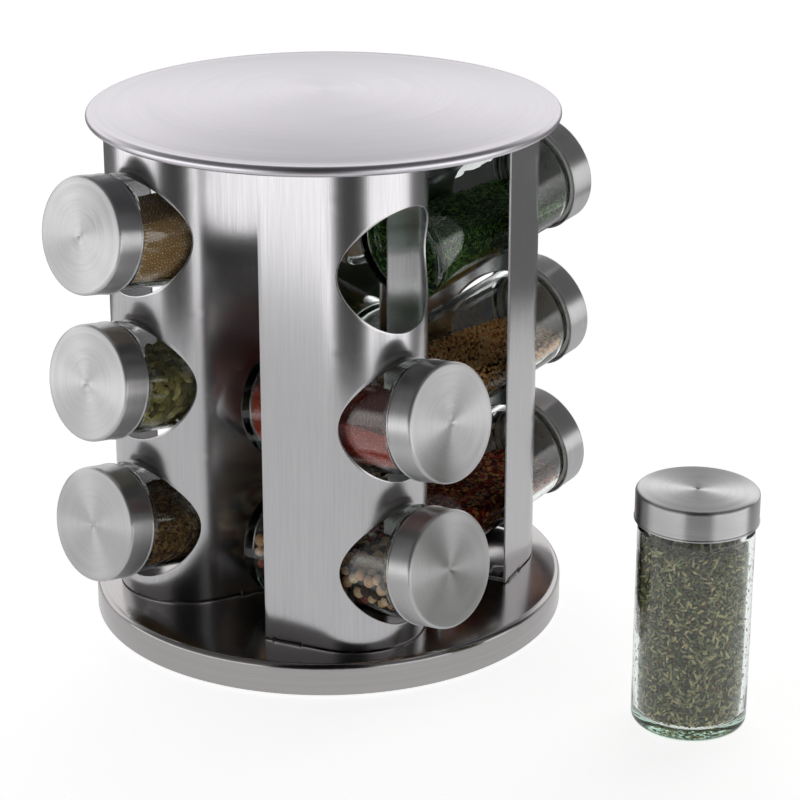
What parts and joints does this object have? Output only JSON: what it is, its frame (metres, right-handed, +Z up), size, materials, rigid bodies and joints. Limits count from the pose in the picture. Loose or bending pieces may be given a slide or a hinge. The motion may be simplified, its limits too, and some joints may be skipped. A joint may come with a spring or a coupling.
{
  "type": "spice carousel",
  "caption": "Revolving spice rack: bent steel panels with round holes between a domed lid and a turntable tray, holding tilted glass spice jars with steel caps.",
  "frame": {"origin": "on the turning axis, at the surface the foot ring stands on", "axes": "+Z up along the turning axis; -Y is the front, with the spare jar at +X -Y"},
  "size_m": [0.2765, 0.2472, 0.222],
  "materials": {
    "brushed_lid": "stainless steel, spun-brushed satin",
    "brushed_tray": "stainless steel, spun-brushed satin",
    "brushed_panel": "stainless steel, brushed upright",
    "brushed_cap": "stainless steel, face spun-brushed, rim polished",
    "plain_steel": "mill-finish sheet",
    "rivet_steel": "zinc-plated",
    "ball_steel": "polished",
    "race_plastic": "moulded black acetal",
    "foot_rubber": "moulded non-slip rubber",
    "jar_glass": "clear soda-lime glass",
    "sifter_plastic": "moulded white polypropylene",
    "ginger_powder": "ginger powder",
    "cardamom_pods": "cardamom pods",
    "caraway_seeds": "caraway seeds",
    "paprika_powder": "paprika powder",
    "mixed_peppercorns": "mixed peppercorns",
    "dried_dill": "dried dill",
    "mustard_seeds": "mustard seeds",
    "chilli_flakes": "chilli flakes",
    "turmeric_powder": "turmeric powder",
    "dried_parsley": "dried parsley",
    "coriander_seeds": "coriander seeds",
    "mixed_herbs": "mixed herbs"
  },
  "bodies": {
    "turntable": {"turntable_base": "race_plastic", "foot_ring": "foot_rubber", "bearing_balls": "ball_steel"},
    "rack": {"lid_cover": "brushed_lid", "lid_plate": "plain_steel", "base_tray": "brushed_tray", "rivets": "rivet_steel", "upper_race": "race_plastic", "front_right_panel": "brushed_panel", "back_right_panel": "brushed_panel", "back_left_panel": "brushed_panel", "front_left_panel": "brushed_panel"},
    "front_right_bottom_jar": {"front_right_bottom_glass": "jar_glass", "front_right_bottom_sifter": "sifter_plastic", "front_right_bottom_spice": "mixed_peppercorns"},
    "front_right_bottom_cap": {"front_right_bottom_cap": "brushed_cap"},
    "front_right_middle_jar": {"front_right_middle_glass": "jar_glass", "front_right_middle_sifter": "sifter_plastic", "front_right_middle_spice": "paprika_powder"},
    "front_right_middle_cap": {"front_right_middle_cap": "brushed_cap"},
    "back_right_bottom_jar": {"back_right_bottom_glass": "jar_glass", "back_right_bottom_sifter": "sifter_plastic", "back_right_bottom_spice": "chilli_flakes"},
    "back_right_bottom_cap": {"back_right_bottom_cap": "brushed_cap"},
    "back_right_middle_jar": {"back_right_middle_glass": "jar_glass", "back_right_middle_sifter": "sifter_plastic", "back_right_middle_spice": "mustard_seeds"},
    "back_right_middle_cap": {"back_right_middle_cap": "brushed_cap"},
    "back_right_top_jar": {"back_right_top_glass": "jar_glass", "back_right_top_sifter": "sifter_plastic", "back_right_top_spice": "dried_dill"},
    "back_right_top_cap": {"back_right_top_cap": "brushed_cap"},
    "back_left_bottom_jar": {"back_left_bottom_glass": "jar_glass", "back_left_bottom_sifter": "sifter_plastic", "back_left_bottom_spice": "coriander_seeds"},
    "back_left_bottom_cap": {"back_left_bottom_cap": "brushed_cap"},
    "back_left_middle_jar": {"back_left_middle_glass": "jar_glass", "back_left_middle_sifter": "sifter_plastic", "back_left_middle_spice": "dried_parsley"},
    "back_left_middle_cap": {"back_left_middle_cap": "brushed_cap"},
    "back_left_top_jar": {"back_left_top_glass": "jar_glass", "back_left_top_sifter": "sifter_plastic", "back_left_top_spice": "turmeric_powder"},
    "back_left_top_cap": {"back_left_top_cap": "brushed_cap"},
    "front_left_bottom_jar": {"front_left_bottom_glass": "jar_glass", "front_left_bottom_sifter": "sifter_plastic", "front_left_bottom_spice": "caraway_seeds"},
    "front_left_bottom_cap": {"front_left_bottom_cap": "brushed_cap"},
    "front_left_middle_jar": {"front_left_middle_glass": "jar_glass", "front_left_middle_sifter": "sifter_plastic", "front_left_middle_spice": "cardamom_pods"},
    "front_left_middle_cap": {"front_left_middle_cap": "brushed_cap"},
    "front_left_top_jar": {"front_left_top_glass": "jar_glass", "front_left_top_sifter": "sifter_plastic", "front_left_top_spice": "ginger_powder"},
    "front_left_top_cap": {"front_left_top_cap": "brushed_cap"},
    "spare_jar": {"spare_glass": "jar_glass", "spare_sifter": "sifter_plastic", "spare_spice": "mixed_herbs"},
    "spare_cap": {"spare_cap": "brushed_cap"}
  },
  "joints": [
    {"name": "rack_turn", "type": "hinge", "parent": "turntable", "child": "rack", "pos_m": [0, 0, 0], "axis": [0, 0, 1], "continuous": true},
    {"name": "front_right_bottom_jar_slide", "type": "slide", "parent": "rack", "child": "front_right_bottom_jar", "axis": [0.7207, -0.672, 0.1702], "range_m": [0, 0.085]},
    {"name": "front_right_bottom_cap_off", "type": "slide", "parent": "front_right_bottom_jar", "child": "front_right_bottom_cap", "axis": [0.7207, -0.672, 0.1702], "range_m": [0, 0.03]},
    {"name": "front_right_middle_jar_slide", "type": "slide", "parent": "rack", "child": "front_right_middle_jar", "axis": [0.7207, -0.672, 0.1702], "range_m": [0, 0.085]},
    {"name": "front_right_middle_cap_off", "type": "slide", "parent": "front_right_middle_jar", "child": "front_right_middle_cap", "axis": [0.7207, -0.672, 0.1702], "range_m": [0, 0.03]},
    {"name": "back_right_bottom_jar_slide", "type": "slide", "parent": "rack", "child": "back_right_bottom_jar", "axis": [0.672, 0.7207, 0.1702], "range_m": [0, 0.085]},
    {"name": "back_right_bottom_cap_off", "type": "slide", "parent": "back_right_bottom_jar", "child": "back_right_bottom_cap", "axis": [0.672, 0.7207, 0.1702], "range_m": [0, 0.03]},
    {"name": "back_right_middle_jar_slide", "type": "slide", "parent": "rack", "child": "back_right_middle_jar", "axis": [0.672, 0.7207, 0.1702], "range_m": [0, 0.085]},
    {"name": "back_right_middle_cap_off", "type": "slide", "parent": "back_right_middle_jar", "child": "back_right_middle_cap", "axis": [0.672, 0.7207, 0.1702], "range_m": [0, 0.03]},
    {"name": "back_right_top_jar_slide", "type": "slide", "parent": "rack", "child": "back_right_top_jar", "axis": [0.672, 0.7207, 0.1702], "range_m": [0, 0.085]},
    {"name": "back_right_top_cap_off", "type": "slide", "parent": "back_right_top_jar", "child": "back_right_top_cap", "axis": [0.672, 0.7207, 0.1702], "range_m": [0, 0.03]},
    {"name": "back_left_bottom_jar_slide", "type": "slide", "parent": "rack", "child": "back_left_bottom_jar", "axis": [-0.7207, 0.672, 0.1702], "range_m": [0, 0.085]},
    {"name": "back_left_bottom_cap_off", "type": "slide", "parent": "back_left_bottom_jar", "child": "back_left_bottom_cap", "axis": [-0.7207, 0.672, 0.1702], "range_m": [0, 0.03]},
    {"name": "back_left_middle_jar_slide", "type": "slide", "parent": "rack", "child": "back_left_middle_jar", "axis": [-0.7207, 0.672, 0.1702], "range_m": [0, 0.085]},
    {"name": "back_left_middle_cap_off", "type": "slide", "parent": "back_left_middle_jar", "child": "back_left_middle_cap", "axis": [-0.7207, 0.672, 0.1702], "range_m": [0, 0.03]},
    {"name": "back_left_top_jar_slide", "type": "slide", "parent": "rack", "child": "back_left_top_jar", "axis": [-0.7207, 0.672, 0.1702], "range_m": [0, 0.085]},
    {"name": "back_left_top_cap_off", "type": "slide", "parent": "back_left_top_jar", "child": "back_left_top_cap", "axis": [-0.7207, 0.672, 0.1702], "range_m": [0, 0.03]},
    {"name": "front_left_bottom_jar_slide", "type": "slide", "parent": "rack", "child": "front_left_bottom_jar", "axis": [-0.672, -0.7207, 0.1702], "range_m": [0, 0.085]},
    {"name": "front_left_bottom_cap_off", "type": "slide", "parent": "front_left_bottom_jar", "child": "front_left_bottom_cap", "axis": [-0.672, -0.7207, 0.1702], "range_m": [0, 0.03]},
    {"name": "front_left_middle_jar_slide", "type": "slide", "parent": "rack", "child": "front_left_middle_jar", "axis": [-0.672, -0.7207, 0.1702], "range_m": [0, 0.085]},
    {"name": "front_left_middle_cap_off", "type": "slide", "parent": "front_left_middle_jar", "child": "front_left_middle_cap", "axis": [-0.672, -0.7207, 0.1702], "range_m": [0, 0.03]},
    {"name": "front_left_top_jar_slide", "type": "slide", "parent": "rack", "child": "front_left_top_jar", "axis": [-0.672, -0.7207, 0.1702], "range_m": [0, 0.085]},
    {"name": "front_left_top_cap_off", "type": "slide", "parent": "front_left_top_jar", "child": "front_left_top_cap", "axis": [-0.672, -0.7207, 0.1702], "range_m": [0, 0.03]},
    {"name": "spare_jar_lift", "type": "slide", "parent": "turntable", "child": "spare_jar", "axis": [0, 0, 1], "range_m": [0, 0.08]},
    {"name": "spare_cap_off", "type": "slide", "parent": "spare_jar", "child": "spare_cap", "axis": [0, 0, 1], "range_m": [0, 0.03]}
  ]
}
